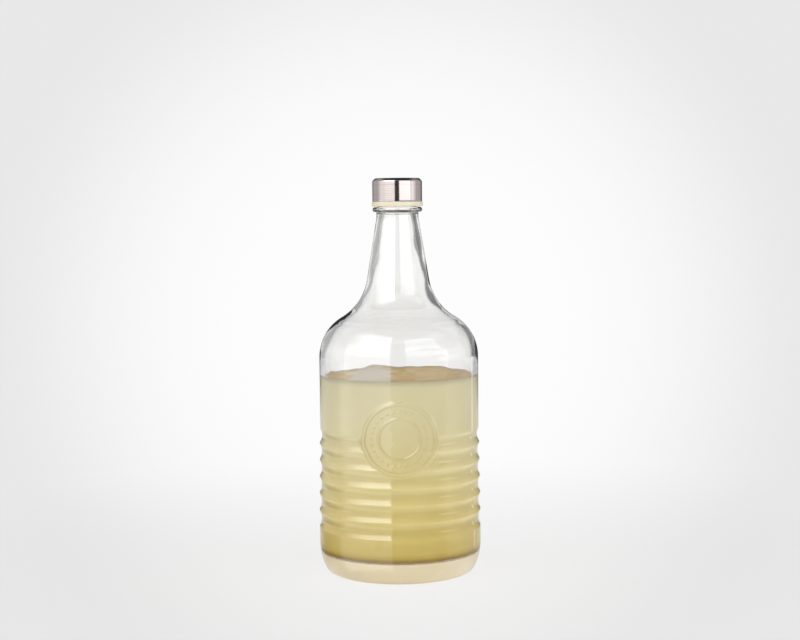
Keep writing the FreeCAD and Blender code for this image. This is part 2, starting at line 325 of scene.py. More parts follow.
@dataclass(frozen=True)
class BrushedSteel:
    """Stainless steel, brushed while turning: fine lines run round it and blur reflections upwards."""

    colour: str = "#AAA09D"
    worn: str = "#B9B0AD"
    smoothest: float = 0.12
    roughest: float = 0.2
    line: float = 0.5
    line_depth: float = 0.003
    stretch: float = 0.7
    stretch_turn: float = 0.25

    def make(self) -> bpy.types.Material:
        """Builds the material: rings of brush lines, drawn coarser than real ones so that they show.

        Returns:
            The material.
        """
        material, tree, place = new_material("brushed_stainless_steel")
        axes = add_node(tree, "SeparateXYZ", {"Vector": place}).outputs
        flat = add_node(tree, "CombineXYZ", {"X": axes["X"], "Y": axes["Y"]}).outputs["Vector"]
        radius = add_node(tree, "VectorMath", {0: flat}, operation="LENGTH").outputs["Value"]
        rings = add_node(tree, "CombineXYZ", {"X": radius, "Z": axes["Z"]}).outputs["Vector"]
        noise = add_node(tree, "TexNoise", {"Vector": rings, "Scale": per_mm(self.line), "Detail": 2.0})
        lines = noise.outputs["Fac"]
        stops = {0.3: self.colour, 0.75: self.worn}
        colour = add_node(tree, "ValToRGB", {"Fac": lines}, stops=stops)
        ends = {"To Min": self.smoothest, "To Max": self.roughest}
        rough = add_node(tree, "MapRange", {"Value": lines, **ends})
        bump = add_node(tree, "Bump", {"Height": lines, "Distance": self.line_depth * MM})
        along = add_node(tree, "Tangent", direction_type="RADIAL", axis="Z")
        inputs = {
            "Base Color": colour.outputs["Color"],
            "Metallic": 1.0,
            "Roughness": rough.outputs["Result"],
            "Anisotropic": self.stretch,
            "Anisotropic Rotation": self.stretch_turn,
            "Normal": bump.outputs["Normal"],
            "Tangent": along.outputs["Tangent"],
        }
        steel = add_node(tree, "BsdfPrincipled", inputs)
        add_node(tree, "OutputMaterial", {"Surface": steel.outputs["BSDF"]})
        return material


@dataclass(frozen=True)
class CreamPolypropylene:
    """Moulded polypropylene in cream: waxy and satin, with a fine even grain from the mould."""

    colour: str = "#F4EBD2"
    shade: str = "#EADFC0"
    patch: float = 6.0
    grain: float = 0.6
    grain_depth: float = 0.01
    grain_strength: float = 0.5
    roughness: float = 0.4
    index: float = 1.49

    def make(self) -> bpy.types.Material:
        """Builds the material: satin cream with slight patches and grain.

        Returns:
            The material.
        """
        material, tree, place = new_material("cream_polypropylene")
        patches = add_node(tree, "TexNoise", {"Vector": place, "Scale": per_mm(self.patch), "Detail": 2.0})
        stops = {0.3: self.shade, 0.65: self.colour}
        colour = add_node(tree, "ValToRGB", {"Fac": patches.outputs["Fac"]}, stops=stops)
        grain = add_node(tree, "TexNoise", {"Vector": place, "Scale": per_mm(self.grain)})
        bump = {"Distance": self.grain_depth * MM, "Strength": self.grain_strength}
        raised = add_node(tree, "Bump", {"Height": grain.outputs["Fac"], **bump})
        inputs = {
            "Base Color": colour.outputs["Color"],
            "Roughness": self.roughness,
            "IOR": self.index,
            "Normal": raised.outputs["Normal"],
        }
        plastic = add_node(tree, "BsdfPrincipled", inputs)
        add_node(tree, "OutputMaterial", {"Surface": plastic.outputs["BSDF"]})
        return material


@dataclass(frozen=True)
class LinerFoam:
    """Expanded polyethylene foam, skinned on both faces: soft, white and matt with small closed cells."""

    skin: str = "#EFEDE6"
    cell_edge: str = "#D9D5CA"
    cell: float = 0.7
    cell_depth: float = 0.05
    cell_strength: float = 0.4
    roughness: float = 0.75

    def make(self) -> bpy.types.Material:
        """Builds the material: matt white with the cells showing through the skin.

        Returns:
            The material.
        """
        material, tree, place = new_material("polyethylene_foam")
        inputs = {"Vector": place, "Scale": per_mm(self.cell)}
        cells = add_node(tree, "TexVoronoi", inputs, feature="DISTANCE_TO_EDGE").outputs["Distance"]
        stops = {0.0: self.cell_edge, 0.18: self.skin}
        colour = add_node(tree, "ValToRGB", {"Fac": cells}, stops=stops)
        bump = {"Distance": self.cell_depth * MM, "Strength": self.cell_strength}
        inputs = {
            "Base Color": colour.outputs["Color"],
            "Roughness": self.roughness,
            "Normal": add_node(tree, "Bump", {"Height": cells, **bump}).outputs["Normal"],
        }
        foam = add_node(tree, "BsdfPrincipled", inputs)
        add_node(tree, "OutputMaterial", {"Surface": foam.outputs["BSDF"]})
        return material


class Lathe:
    """An outline of radius and height that is drawn in edit mode and turned about the bottle's axis."""

    def __init__(self, name: str, radius: float, height: float) -> None:
        """Starts the outline from a plane that is merged to one vertex.

        Args:
            name: Name of the piece.
            radius: Radius of the first point.
            height: Height of the first point.
        """
        bpy.ops.object.select_all(action="DESELECT")
        bpy.ops.mesh.primitive_plane_add(size=MM)
        self.piece = bpy.context.object
        self.piece.name = name
        bpy.ops.object.mode_set(mode="EDIT")
        bpy.ops.mesh.merge(type="CENTER")
        bpy.ops.transform.translate(value=(radius * MM, 0, height * MM))
        self.end = (radius, height)

    def line(self, radius: float, height: float, steps: int = 1) -> None:
        """Extrudes the end of the outline in a straight line.

        Args:
            radius: Radius of the new end.
            height: Height of the new end.
            steps: Number of edges.
        """
        step = ((radius - self.end[0]) / steps * MM, 0, (height - self.end[1]) / steps * MM)
        for _ in range(steps):
            bpy.ops.mesh.extrude_region_move(TRANSFORM_OT_translate={"value": step})
        self.end = (radius, height)

    def arc(self, centre: Pair, radius: float, height: float, steps: int) -> None:
        """Spins the end of the outline about a centre, the shorter way.

        Args:
            centre: Radius and height of the centre.
            radius: Radius of the new end.
            height: Height of the new end.
            steps: Number of edges.
        """
        start = math.atan2(self.end[1] - centre[1], self.end[0] - centre[0])
        stop = math.atan2(height - centre[1], radius - centre[0])
        turn = (stop - start + math.pi) % (2 * math.pi) - math.pi
        pivot = (centre[0] * MM, 0, centre[1] * MM)
        bpy.ops.mesh.spin(steps=steps, angle=turn, center=pivot, axis=(0, 1, 0))
        self.end = (radius, height)

    def turn(self, sectors: list[tuple[float, int]]) -> bpy.types.Object:
        """Spins the outline a full turn, clockwise seen from above, from the +X side.

        Args:
            sectors: Angle and number of steps of each part of the turn.

        Returns:
            The closed piece, merged, with its normals outwards and smooth.
        """
        bpy.ops.mesh.select_all(action="SELECT")
        for angle, steps in sectors:
            bpy.ops.mesh.spin(steps=steps, angle=math.radians(angle), center=(0, 0, 0), axis=(0, 0, 1))
        bpy.ops.mesh.select_all(action="SELECT")
        bpy.ops.mesh.remove_doubles(threshold=MERGE * MM)
        bpy.ops.mesh.normals_make_consistent(inside=False)
        bpy.ops.object.mode_set(mode="OBJECT")
        bpy.ops.object.shade_smooth()
        return self.piece


def reshape(piece: bpy.types.Object, rule: Callable[[np.ndarray, np.ndarray], np.ndarray]) -> None:
    """Moves the vertices of a piece by a rule.

    Args:
        piece: Object whose mesh changes.
        rule: Takes the places in millimetres and the normals, and gives the new places.
    """
    mesh = piece.data
    flat = np.empty(len(mesh.vertices) * 3)
    mesh.vertices.foreach_get("co", flat)
    places = flat.reshape(-1, 3) / MM
    normals = np.empty_like(flat)
    mesh.vertices.foreach_get("normal", normals)
    mesh.vertices.foreach_set("co", (rule(places, normals.reshape(-1, 3)) * MM).ravel())
    mesh.update()


def at_radius(places: np.ndarray, radius: np.ndarray) -> np.ndarray:
    """Moves points level, to new distances from the axis.

    Args:
        places: Points in millimetres, one a row.
        radius: New distance of each. A point on the axis stays there.

    Returns:
        The new places.
    """
    old = np.hypot(places[:, 0], places[:, 1])
    scale = np.divide(radius, old, out=np.ones_like(old), where=old > 0)
    return places * np.stack([scale, scale, np.ones_like(scale)], axis=1)


def ease(value: np.ndarray, low: float, high: float) -> np.ndarray:
    """Rises softly from 0 at low to 1 at high, or falls where low is above high."""
    share = np.clip((value - low) / (high - low), 0, 1)
    return share * share * (3 - 2 * share)


def dome(offset: np.ndarray, half_width: np.ndarray | float) -> np.ndarray:
    """A round hump of height 1 with its foot at half_width from the middle."""
    return np.clip(1 - (offset / half_width) ** 2, 0, 1)


@dataclass(frozen=True)
class Wave:
    """A wave round the axis: its count in a turn, its climb in a radian, its phase and its share.

    A wave with an endless climb stands upright.
    """

    count: int
    climb: float
    phase: float
    share: float

    def swing(self, angle: np.ndarray, height: np.ndarray) -> np.ndarray:
        """Swing of the wave at angles in radians and heights in millimetres."""
        return self.share * np.sin(self.count * angle + height / self.climb + self.phase)


@dataclass(frozen=True)
class ScrewThread:
    """One screw ridge on an upright wall."""

    pitch: float
    turns: float
    low: float
    root: float
    crest: float
    depth: float
    run_out: float = 24.0

    def rise(self, places: np.ndarray) -> np.ndarray:
        """How far the ridge stands out at points of the wall.

        Args:
            places: Points in millimetres, one a row.

        Returns:
            Height of the ridge at each point, which fades out at both ends of the ridge.
        """
        around = np.degrees(np.arctan2(places[:, 1], places[:, 0])) % 360
        total = np.zeros(len(places))
        for lap in range(math.ceil(self.turns)):
            angle = around + 360 * lap
            offset = np.abs(places[:, 2] - self.low - self.pitch * angle / 360)
            ridge = np.clip((self.root / 2 - offset) / ((self.root - self.crest) / 2), 0, 1)
            left = 360 * self.turns - angle
            ends = ease(angle, 0, self.run_out) * ease(left, 0, self.run_out)
            total = np.maximum(total, ridge * ends)
        return self.depth * total


@dataclass(frozen=True)
class RoundRelief:
    """The round relief on the bottle's front: two rings, a row of pearls and a plain rosette."""

    height: float
    radius: float = 23.8
    lift: float = 0.2
    foot: float = 1.4
    rim_width: float = 3.0
    rim_rise: float = 0.7
    ring_radius: float = 14.0
    ring_width: float = 2.0
    ring_rise: float = 0.55
    pearl_count: int = 28
    pearl_radius: float = 1.0
    pearl_sunk: float = 0.5
    petal_count: int = 8
    petal_length: float = 9.0
    petal_width: float = 3.0
    petal_rise: float = 0.1
    petal_tip: float = 0.05
    eye_radius: float = 2.0
    eye_rise: float = 0.2

    def pearls(self, span: np.ndarray, angle: np.ndarray) -> np.ndarray:
        """Height of the sunk pearls.

        Args:
            span: Distance from the middle.
            angle: Angle about the middle.

        Returns:
            Height at each point.
        """
        step = 2 * math.pi / self.pearl_count
        aside = (angle + step / 2) % step - step / 2
        path = (self.radius - self.rim_width + self.ring_radius) / 2
        offset = np.hypot(span * np.sin(aside), span * np.cos(aside) - path) / self.pearl_radius
        ball = np.sqrt(np.clip(1 - offset**2, 0, 1))
        return self.pearl_radius * np.clip(ball - self.pearl_sunk, 0, 1)

    def petals(self, span: np.ndarray, angle: np.ndarray) -> np.ndarray:
        """Height of the pointed petals.

        Args:
            span: Distance from the middle.
            angle: Angle about the middle.

        Returns:
            Height at each point.
        """
        step = 2 * math.pi / self.petal_count
        aside = (angle + step / 2) % step - step / 2
        side_round = (self.petal_length**2 + self.petal_width**2) / (4 * self.petal_width)
        along = span * np.cos(aside) - self.petal_length / 2
        chord = np.sqrt(np.clip(side_round**2 - along**2, 0, None))
        half = np.clip(chord - side_round + self.petal_width / 2, self.petal_tip, None)
        return self.petal_rise * dome(span * np.sin(aside), half)

    def rise(self, across: np.ndarray, up: np.ndarray) -> np.ndarray:
        """Height of the relief over its pad.

        Args:
            across: Distance to the right of the middle, in the front view.
            up: Distance above the middle.

        Returns:
            Height at each point.
        """
        span = np.hypot(across, up)
        angle = np.arctan2(across, up)
        parts = [
            self.rim_rise * dome(span - self.radius + self.rim_width / 2, self.rim_width / 2),
            self.ring_rise * dome(span - self.ring_radius + self.ring_width / 2, self.ring_width / 2),
            self.eye_rise * dome(span, self.eye_radius),
            self.pearls(span, angle),
            self.petals(span, angle),
        ]
        return np.maximum.reduce(parts)


@dataclass
class GlassBottle:
    """The bottle, moulded in one piece of glass with its relief and its screw thread."""

    body_radius: float = 52.0
    wall: float = 3.2
    panel_height: float = 46.5
    panel_roll: float = 4.5
    rib_count: int = 5
    rib_pitch: float = 11.0
    rib_rise: float = 1.3
    rib_step: float = 0.15
    ridge_half: float = 0.2
    flute_end: float = 0.025
    flute_steps: int = 12
    groove_depth: float = 0.9
    heel_out: float = 1.0
    heel_band: float = 10.3
    heel_height: float = 19.2
    heel_round: float = 36.0
    heel_corner: float = 5.0
    foot_width: float = 2.5
    punt_rise: float = 4.0
    floor_height: float = 13.0
    floor_round: float = 8.0
    shoulder_round: float = 30.0
    flare_round: float = 35.0
    neck_slope: float = 9.4
    neck_height: float = 90.5
    neck_out: float = 1.1
    collar_height: float = 3.8
    finish_radius: float = 12.6
    finish_wall: float = 2.7
    bead_height: float = 3.3
    bead_out: float = 3.6
    bead_fillet: float = 0.4
    lip_outer_round: float = 1.0
    lip_inner_round: float = 0.6
    thread_pitch: float = 4.23
    thread_turns: float = 1.5
    thread_depth: float = 1.1
    thread_root: float = 2.2
    thread_crest: float = 1.0
    thread_above_bead: float = 5.65
    thread_below_lip: float = 3.0
    relief_above_ribs: float = 3.4
    relief_cuts: int = 3
    cuts_inside_ring: float = 3.0
    flank_step: float = 0.15
    skin_depth: float = 1.0
    front_sector: float = 58.0
    side_steps: int = 20
    front_steps: int = 56
    back_steps: int = 66
    waves: tuple[Wave, ...] = (
        Wave(2, 11.0, 0.6, 1.0),
        Wave(3, -7.0, 2.1, 0.6),
        Wave(5, 4.6, 1.2, 0.5),
        Wave(8, -3.4, 0.0, 0.35),
    )
    wave_depth: float = 0.14
    wave_start: float = 34.0
    wave_full: float = 8.0
    wave_fade: float = 25.0
    settle_depth: float = 0.08
    settle_half: float = 1.1
    settle_heights: tuple[float, ...] = (170.5, 162.0)

    def __post_init__(self) -> None:
        """Works out the heights and radii that other sizes give."""
        self.heel_radius = self.body_radius + self.heel_out
        self.groove_radius = self.body_radius - self.groove_depth
        self.skin_radius = self.groove_radius - self.skin_depth
        self.neck_radius = self.finish_radius + self.neck_out
        self.bead_radius = self.finish_radius + self.bead_out
        self.bore_radius = self.finish_radius - self.finish_wall
        self.hollow_radius = self.body_radius - self.wall
        self.corner = (self.hollow_radius - self.floor_round, self.floor_height + self.floor_round)
        self.lip_inner = self.bore_radius + self.lip_inner_round
        self.lip_outer = self.finish_radius - self.lip_outer_round
        self.band_top = self.heel_height + self.heel_band
        self.ribs_bottom = self.band_top + self.rib_pitch / 2
        self.ribs_top = self.ribs_bottom + self.rib_count * self.rib_pitch
        self.panel_bottom = self.ribs_top + self.panel_roll
        self.shoulder = self.panel_bottom + self.panel_height
        self.neck_top = self.shoulder + self.neck_height
        self.bead_bottom = self.neck_top + self.collar_height
        self.bead_top = self.bead_bottom + self.bead_height
        self.thread_low = self.bead_top + self.thread_above_bead
        self.lip = self.thread_low + self.thread_pitch * self.thread_turns + self.thread_below_lip
        self.relief = RoundRelief(height=self.ribs_top + self.relief_above_ribs)
        self.screw = ScrewThread(
            self.thread_pitch,
            self.thread_turns,
            self.thread_low,
            self.thread_root,
            self.thread_crest,
            self.thread_depth,
        )
        slope = math.radians(self.neck_slope)
        down = Vector((math.sin(slope), -math.cos(slope)))
        self.neck_normal = Vector((math.cos(slope), math.sin(slope)))
        self.taper_top = Vector((self.neck_radius, self.neck_top))
        self.shoulder_centre = Vector((self.body_radius - self.shoulder_round, self.shoulder))
        offset = self.taper_top + self.neck_normal * self.flare_round - self.shoulder_centre
        along = -offset.dot(down)
        apart = self.shoulder_round + self.flare_round
        reach = along - math.sqrt(along**2 - offset.dot(offset) + apart**2)
        self.flare_centre = self.taper_top + down * reach + self.neck_normal * self.flare_round

    def neck_joints(self, depth: float) -> tuple[Vector, Vector]:
        """Where the shoulder meets the flare and the flare meets the taper.

        Args:
            depth: Distance in from the outside of the glass.

        Returns:
            Radius and height of the two points.
        """
        between = (self.flare_centre - self.shoulder_centre).normalized()
        meet = self.shoulder_centre + between * (self.shoulder_round - depth)
        taper = self.flare_centre - self.neck_normal * (self.flare_round + depth)
        return meet, taper

    def draw_foot(self, lathe: Lathe) -> None:
        """Draws the underside, the foot ring and the heel.

        Args:
            lathe: Outline that ends in the middle of the underside.
        """
        reach = self.heel_round - self.heel_corner
        turn = math.asin((self.heel_height - self.heel_corner) / reach)
        middle = self.heel_radius - self.heel_round
        foot_outer = middle + reach * math.cos(turn)
        foot_inner = foot_outer - self.foot_width
        punt_round = (foot_inner**2 + self.punt_rise**2) / (2 * self.punt_rise)
        joint_radius = middle + self.heel_round * math.cos(turn)
        joint_height = self.heel_height - self.heel_round * math.sin(turn)
        lathe.arc((0, self.punt_rise - punt_round), foot_inner, 0, steps=14)
        lathe.line(foot_outer, 0, steps=2)
        lathe.arc((foot_outer, self.heel_corner), joint_radius, joint_height, steps=7)
        lathe.arc((middle, self.heel_height), self.heel_radius, self.heel_height, steps=14)

    def draw_flute(self, lathe: Lathe, radius: float, height: float) -> None:
        """Draws a hollow flute from one ridge to the next.

        Args:
            lathe: Outline that ends on a ridge.
            radius: Radius of the next ridge.
            height: Height of the next ridge.
        """
        start, end = Vector(lathe.end), Vector((radius, height))
        across = (end - start).normalized()
        start, end = start + across * self.ridge_half, end - across * self.ridge_half
        chord = (end - start).length
        curve = (chord**2 / 4 + self.rib_rise**2) / (2 * self.rib_rise)
        outwards = Vector((across.y, -across.x))
        centre = (start + end) / 2 + outwards * (curve - self.rib_rise)
        half_turn = math.asin(chord / 2 / curve)
        lathe.line(*start)
        for share, steps in ((self.flute_end, 1), (1 - self.flute_end, self.flute_steps), (1, 1)):
            lean = half_turn * (2 * share - 1)
            stop = centre - outwards * curve * math.cos(lean) + across * curve * math.sin(lean)
            lathe.arc(tuple(centre), *stop, steps)
        lathe.line(radius, height)

    def draw_ribs(self, lathe: Lathe) -> None:
        """Draws the plain band, the ribs as ridges between flutes, and the panel up to the shoulder.

        Args:
            lathe: Outline that ends at the top of the heel.
        """
        crest = self.groove_radius + self.rib_rise + self.rib_count * self.rib_step
        lathe.line(self.heel_radius, self.band_top, steps=5)
        for rib in range(self.rib_count):
            crest -= self.rib_step
            self.draw_flute(lathe, crest, self.ribs_bottom + (rib + 0.5) * self.rib_pitch)
        self.draw_flute(lathe, self.body_radius, self.panel_bottom)
        relief_top = self.relief.height + self.relief.radius + 2 * self.relief.foot
        lathe.line(self.body_radius, relief_top, math.ceil(relief_top - self.panel_bottom))
        lathe.line(self.body_radius, self.shoulder, steps=8)

    def draw_neck(self, lathe: Lathe) -> None:
        """Draws the shoulder, the flare, the neck's taper and its collar.

        Args:
            lathe: Outline that ends at the start of the shoulder.
        """
        meet, taper = self.neck_joints(0)
        lathe.arc(tuple(self.shoulder_centre), *meet, steps=24)
        lathe.arc(tuple(self.flare_centre), *taper, steps=22)
        lathe.line(*self.taper_top, steps=12)
        lathe.line(self.neck_radius, self.bead_bottom - self.bead_fillet, steps=3)

    def draw_finish(self, lathe: Lathe) -> None:
        """Draws the bead, the wall that carries the thread, and the lip.

        Args:
            lathe: Outline that ends under the bead.
        """
        fillet = self.bead_fillet
        half = self.bead_height / 2
        bead_middle = (self.bead_radius - half, self.bead_bottom + half)
        turn_in = self.neck_radius + fillet
        lathe.arc((turn_in, lathe.end[1]), turn_in, self.bead_bottom, steps=4)
        lathe.line(bead_middle[0], self.bead_bottom)
        lathe.arc(bead_middle, self.bead_radius, bead_middle[1], steps=7)
        lathe.arc(bead_middle, bead_middle[0], self.bead_top, steps=7)
        lathe.line(self.finish_radius + fillet, self.bead_top, steps=2)
        turn_up = self.bead_top + fillet
        lathe.arc((lathe.end[0], turn_up), self.finish_radius, turn_up, steps=4)
        thread_start = self.thread_low - self.thread_pitch / 2
        lip_turn = self.lip - self.lip_outer_round
        lathe.line(self.finish_radius, thread_start, steps=4)
        lathe.line(self.finish_radius, lip_turn, steps=42)
        lathe.arc((self.lip_outer, lip_turn), self.lip_outer, self.lip, steps=5)
        lathe.line(self.lip_inner, self.lip, steps=2)
        bore_top = self.lip - self.lip_inner_round
        lathe.arc((self.lip_inner, bore_top), self.bore_radius, bore_top, steps=4)

    def draw_hollow(self, lathe: Lathe) -> None:
        """Draws the inside, from the bore down to the middle of the floor.

        Args:
            lathe: Outline that ends at the top of the bore.
        """
        meet, taper = self.neck_joints(self.wall)
        top = self.taper_top - self.neck_normal * self.wall
        bore_end = top.y - (self.bore_radius - top.x) / math.tan(math.radians(self.neck_slope))
        lathe.line(self.bore_radius, bore_end, steps=10)
        lathe.line(*taper, steps=14)
        lathe.arc(tuple(self.flare_centre), *meet, steps=36)
        lathe.arc(tuple(self.shoulder_centre), self.hollow_radius, self.shoulder, steps=36)
        lathe.line(self.hollow_radius, self.corner[1], steps=20)
        lathe.arc(self.corner, self.corner[0], self.floor_height, steps=8)
        lathe.line(0, self.floor_height, steps=6)

    def refine_front(self, piece: bpy.types.Object) -> None:
        """Subdivides the outer faces that carry the relief's rings and pearls.

        Args:
            piece: The turned bottle.
        """
        inner = self.relief.ring_radius - self.cuts_inside_ring
        outer = self.relief.radius + self.relief.foot
        bpy.ops.object.mode_set(mode="EDIT")
        bpy.ops.mesh.select_mode(type="FACE")
        bpy.ops.mesh.select_all(action="DESELECT")
        bpy.ops.object.mode_set(mode="OBJECT")
        for face in piece.data.polygons:
            place = face.center / MM
            span = math.hypot(place.x, place.z - self.relief.height)
            in_front = place.y < 0 and math.hypot(place.x, place.y) > self.skin_radius
            face.select = in_front and inner < span < outer
        bpy.ops.object.mode_set(mode="EDIT")
        bpy.ops.mesh.subdivide(number_cuts=self.relief_cuts)
        bpy.ops.mesh.select_mode(type="VERT")
        bpy.ops.object.mode_set(mode="OBJECT")

    def mark_flank_shade(self, piece: bpy.types.Object) -> None:
        """Stores how steep the relief is on each vertex, for the painted shade that the glass puts on the
        steep flanks.

        Args:
            piece: The turned bottle, before the relief is raised.
        """
        flat = np.empty(len(piece.data.vertices) * 3)
        piece.data.vertices.foreach_get("co", flat)
        x, y, z = flat.reshape(-1, 3).T / MM
        up = z - self.relief.height
        rise, step = self.relief.rise, self.flank_step
        slope_across = (rise(x + step, up) - rise(x - step, up)) / (2 * step)
        slope_up = (rise(x, up + step) - rise(x, up - step)) / (2 * step)
        front = (y < 0) & (np.hypot(x, y) > self.skin_radius) & (np.hypot(x, up) < self.relief.radius)
        steep = np.clip(np.hypot(slope_across, slope_up), 0, 1) * front
        piece.data.attributes.new(FLANK_SHADE, "FLOAT", "POINT").data.foreach_set("value", steep)

    def mould(self, places: np.ndarray, normals: np.ndarray) -> np.ndarray:
        """Raises the relief and the thread on the outside, and lets the blown inside wander a little.

        Args:
            places: Vertices of the turned bottle in millimetres.
            normals: Their normals.

        Returns:
            The new places.
        """
        x, y, z = places.T
        radius = np.hypot(x, y)
        outside = normals[:, 0] * x + normals[:, 1] * y > 0
        new_radius = radius.copy()

        pad = self.body_radius + self.relief.lift
        up = z - self.relief.height
        cover = ease(np.hypot(x, up), self.relief.radius + self.relief.foot, self.relief.radius)
        cover = cover * (outside & (y < 0) & (radius > self.skin_radius))
        new_radius += cover * (pad + self.relief.rise(x, up) - radius)

        on_finish = outside & (z > self.bead_top + self.bead_fillet) & (z < self.lip - self.lip_outer_round)
        new_radius += on_finish * self.screw.rise(places)

        uneven = normals * self.wander(places)[:, None] * ~outside[:, None]
        return at_radius(places, new_radius) + uneven

    def wander(self, places: np.ndarray) -> np.ndarray:
        """How far the blown inside of the neck and shoulder departs from a true turning.

        Args:
            places: Points in millimetres.

        Returns:
            Distance along the normal at each point.
        """
        x, y, z = places.T
        angle = np.arctan2(y, x)
        swing = sum(wave.swing(angle, z) for wave in self.waves)
        settle = sum(np.exp(-(((z - height) / self.settle_half) ** 2)) for height in self.settle_heights)
        starts = ease(z, self.panel_bottom + self.wave_start, self.shoulder + self.wave_full)
        fades = ease(z, self.bead_bottom, self.neck_top - self.wave_fade)
        return starts * fades * (self.wave_depth * swing + self.settle_depth * settle)

    def build(self) -> bpy.types.Object:
        """Turns the bottle and moulds its relief and thread.

        Returns:
            The finished piece.
        """
        lathe = Lathe("bottle_glass", 0, self.punt_rise)
        self.draw_foot(lathe)
        self.draw_ribs(lathe)
        self.draw_neck(lathe)
        self.draw_finish(lathe)
        self.draw_hollow(lathe)
        half = self.front_sector / 2
        piece = lathe.turn(
            [
                (90 - half, self.side_steps),
                (self.front_sector, self.front_steps),
                (270 - half, self.back_steps),
            ]
        )
        self.refine_front(piece)
        self.mark_flank_shade(piece)
        reshape(piece, self.mould)
        return piece

    def dress(self) -> None:
        """Builds the bottle and gives it its glass."""
        seat(self.build(), Body.BOTTLE, "glass_bottle", SodaLimeGlass().make())


@dataclass
class Drink:
    """The drink in the bottle, up to its level."""

    glass: GlassBottle
    below_shoulder: float = 11.9
    overlap: float = 0.15
    climb: float = 0.5
    climb_reach: float = 1.0
    climb_step: float = 0.45
    climb_steps: int = 8
    steps: int = 120
    cling: float = 0.4
    cling_width: float = 3.0
    cling_behind: float = 20.0
    cling_below: float = 0.1
    cling_waves: tuple[Wave, ...] = (
        Wave(7, math.inf, 0.8, 1.0),
        Wave(13, math.inf, 2.0, 0.7),
        Wave(23, math.inf, 0.0, 0.5),
    )
    # The floating pulp carries a painted highlight streak; the settled pulp's pale cover is painted light
    # for the drink's light in the thick foot.
    floating_with_highlight: PulpWithPaintedLight = PulpWithPaintedLight("floating_pulp_painted_highlight", "#FDE6B2", "#F2CB88", "#FFF1DC", (-28, -4))
    floating_lean: float = 0.5
    settled_and_painted: PulpWithPaintedLight = PulpWithPaintedLight("settled_pulp_painted_light", "#FFF6E0", "#FBEDCE", "#FFF6E0", (-60, 60))
    settled_lean: float = 0.85

    def __post_init__(self) -> None:
        """Works out the level of the drink."""
        self.level = self.glass.shoulder - self.below_shoulder

    def build(self) -> bpy.types.Object:
        """Turns the drink, with its edge drawn up at the wall.

        It reaches just into the glass, so that no air is between them.

        Returns:
            The finished piece.
        """
        glass = self.glass
        side = glass.hollow_radius + self.overlap
        lathe = Lathe("drink", 0, glass.floor_height - self.overlap)
        lathe.line(glass.corner[0], lathe.end[1], steps=6)
        lathe.arc(glass.corner, side, glass.corner[1], steps=8)
        lathe.line(side, self.level + self.climb, steps=24)
        for index in range(self.climb_steps):
            inward = self.climb_step * (index + 1)
            lathe.line(side - inward, self.level + self.climb * math.exp(-inward / self.climb_reach))
        lathe.line(0, self.level, steps=8)
        piece = lathe.turn([(360, self.steps)])
        reshape(piece, self.wet)
        return piece

    def wet(self, places: np.ndarray, normals: np.ndarray) -> np.ndarray:
        """Lets the drink's edge cling unevenly to the far wall.

        Args:
            places: Vertices of the turned drink in millimetres.
            normals: Their normals.

        Returns:
            The new places.
        """
        x, y, z = places.T
        angle = np.arctan2(y, x)
        swing = sum(wave.swing(angle, z) for wave in self.cling_waves)
        wall = self.glass.hollow_radius
        where = ease(np.hypot(x, y), wall - self.cling_width, wall) * ease(y, 0, self.cling_behind)
        lift = self.cling * swing * where * (z > self.level - self.cling_below)
        return places + np.stack([np.zeros_like(z), np.zeros_like(z), lift], axis=1)

    def dress(self) -> None:
        """Builds the drink, and gives its open surface and its underside finishes of their own, which carry
        a painted highlight and painted light.
        """
        piece = self.build()
        seat(piece, Body.BOTTLE, "liquid_fill", CloudyLemonade().make())
        piece.data.materials.append(self.floating_with_highlight.make())
        piece.data.materials.append(self.settled_and_painted.make())
        for face in piece.data.polygons:
            if face.normal.z > self.floating_lean:
                face.material_index = 1
            elif face.normal.z < -self.settled_lean:
                face.material_index = 2


